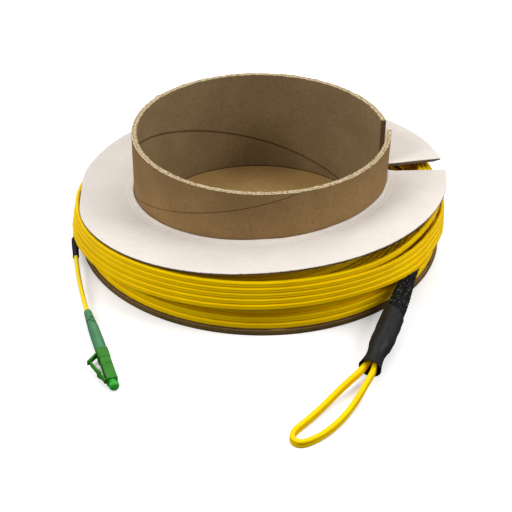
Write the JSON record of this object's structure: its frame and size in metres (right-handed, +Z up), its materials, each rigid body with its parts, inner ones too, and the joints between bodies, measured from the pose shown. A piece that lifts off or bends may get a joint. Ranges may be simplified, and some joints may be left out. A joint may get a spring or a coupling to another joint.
{
  "type": "spooled fibre patch cord",
  "caption": "Flat fibre patch cord wound on a board spool, with a latching plug at one end and a pulling sock with a loop at the other.",
  "frame": {"origin": "middle of the base disc's underside, on the floor", "axes": "+Z up the spool's axis, -Y towards the side where both ends of the cord lie"},
  "size_m": [0.1774, 0.2459, 0.0554],
  "materials": {
    "brown_board": "matt spiral-wound board",
    "white_board": "matt lined board",
    "cable_jacket": "satin jacket",
    "black_shrink": "satin heat-shrink",
    "black_braid": "open braid",
    "boot_green": "soft matt",
    "plug_green": "moulded satin",
    "cap_green": "soft gloss",
    "crimp_brass": "plain",
    "spring_steel": "plain",
    "ferrule_white": "polished ceramic"
  },
  "bodies": {
    "spool": {"core_tube": "brown_board", "base_flange": "brown_board", "top_flange": "white_board", "cable_winding": "cable_jacket", "left_lead": "cable_jacket", "right_lead": "cable_jacket", "pull_loop": "cable_jacket", "left_leg": "cable_jacket", "right_leg": "cable_jacket", "left_sleeve": "black_shrink", "right_sleeve": "black_shrink", "pull_shrink": "black_shrink", "pull_sock": "black_braid", "left_plug_boot": "boot_green", "left_plug_crimp_ring": "crimp_brass", "left_plug_crimp_post": "crimp_brass", "left_plug_rear_housing": "plug_green", "left_plug_front_housing": "plug_green", "left_plug_spring": "spring_steel", "right_plug_boot": "boot_green", "right_plug_crimp_ring": "crimp_brass", "right_plug_crimp_post": "crimp_brass", "right_plug_rear_housing": "plug_green", "right_plug_front_housing": "plug_green", "right_plug_ferrule_holder": "spring_steel", "right_plug_ferrule": "ferrule_white", "right_plug_spring": "spring_steel", "right_plug_dust_cap": "cap_green", "right_plug_latch": "plug_green", "right_plug_trigger": "plug_green"},
    "left_cap": {"left_plug_dust_cap": "cap_green"},
    "left_ferrule": {"left_plug_ferrule": "ferrule_white", "left_plug_ferrule_holder": "spring_steel"},
    "left_trigger": {"left_plug_trigger": "plug_green"},
    "left_latch": {"left_plug_latch": "plug_green"}
  },
  "joints": [
    {"name": "cap_pull", "type": "slide", "parent": "spool", "child": "left_cap", "axis": [0.3133, -0.9496, 0], "range_m": [0, 0.014]},
    {"name": "ferrule_float", "type": "slide", "parent": "spool", "child": "left_ferrule", "axis": [-0.3133, 0.9496, 0], "range_m": [0, 0.001], "stiffness_N_per_m": 800, "deforming": ["left_plug_spring"]},
    {"name": "trigger_press", "type": "hinge", "parent": "spool", "child": "left_trigger", "pos_m": [-0.06838, -0.10459, 0.00257], "axis": [0, 0, 1], "range_deg": [0, 13], "stiffness_Nm_per_rad": 0.0002},
    {"name": "latch_press", "type": "hinge", "parent": "spool", "child": "left_latch", "pos_m": [-0.06264, -0.12123, 0.00257], "axis": [0, 0, 1], "range_deg": [-9, 0]}
  ],
  "couplings": [
    {"joint": "latch_press", "follows": "trigger_press", "ratio": -0.69}
  ]
}
